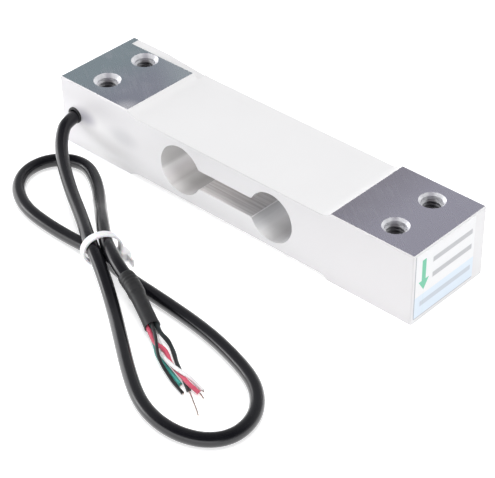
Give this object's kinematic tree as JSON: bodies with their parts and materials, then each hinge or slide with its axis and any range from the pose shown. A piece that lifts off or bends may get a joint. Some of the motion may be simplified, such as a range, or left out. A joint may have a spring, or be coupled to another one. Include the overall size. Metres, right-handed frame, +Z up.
{
  "type": "single point load cell",
  "caption": "Machined aluminium load cell beam with a dumbbell-shaped opening, tapped mounting pads and a tied screened cable with stripped ends.",
  "frame": {"origin": "centre of the beam's underside, on the plane of the mounting pads", "axes": "+X along the beam to the loaded end with the label, -Y out of the long face that the cable leaves, +Z up"},
  "size_m": [0.1301, 0.1018, 0.022],
  "materials": {
    "beam": "satin anodised, machined pads",
    "cover": "satin",
    "gauge": "etched foil on amber film",
    "laminate": "glass laminate",
    "chip": "ceramic chip",
    "tinned_copper": "tinned copper strand",
    "bundle": "bundled insulated cores",
    "sealant": "silicone",
    "bush": "moulded rubber",
    "potting": "cast resin",
    "jacket": "satin polyurethane",
    "shrink_sleeve": "shrunk polyolefin",
    "red_core": "smooth insulation",
    "white_core": "smooth insulation",
    "green_core": "smooth insulation",
    "black_core": "smooth insulation",
    "screen_sleeve": "shrunk sleeve",
    "tie": "natural nylon",
    "label": "printed film"
  },
  "bodies": {
    "root": {"load_cell_body": "beam", "cover_top": "cover", "cover_bottom": "cover", "gauge_top_left": "gauge", "gauge_bottom_left": "gauge", "gauge_top_right": "gauge", "gauge_bottom_right": "gauge", "terminals_top": "laminate", "terminals_bottom": "laminate", "balance_resistor": "chip", "gauge_leads_top": "tinned_copper", "gauge_leads_bottom": "tinned_copper", "core_bundle_top": "bundle", "core_bundle_bottom": "bundle", "sealant_top": "sealant", "sealant_bottom": "sealant", "cable_bush": "bush", "bore_potting": "potting", "cable_jacket": "jacket", "end_sleeve": "shrink_sleeve", "red_core": "red_core", "white_core": "white_core", "green_core": "green_core", "black_core": "black_core", "screen_sleeve": "screen_sleeve", "drain_wire": "tinned_copper", "bare_ends": "tinned_copper", "cable_tie": "tie", "end_label": "label"}
  },
  "joints": []
}
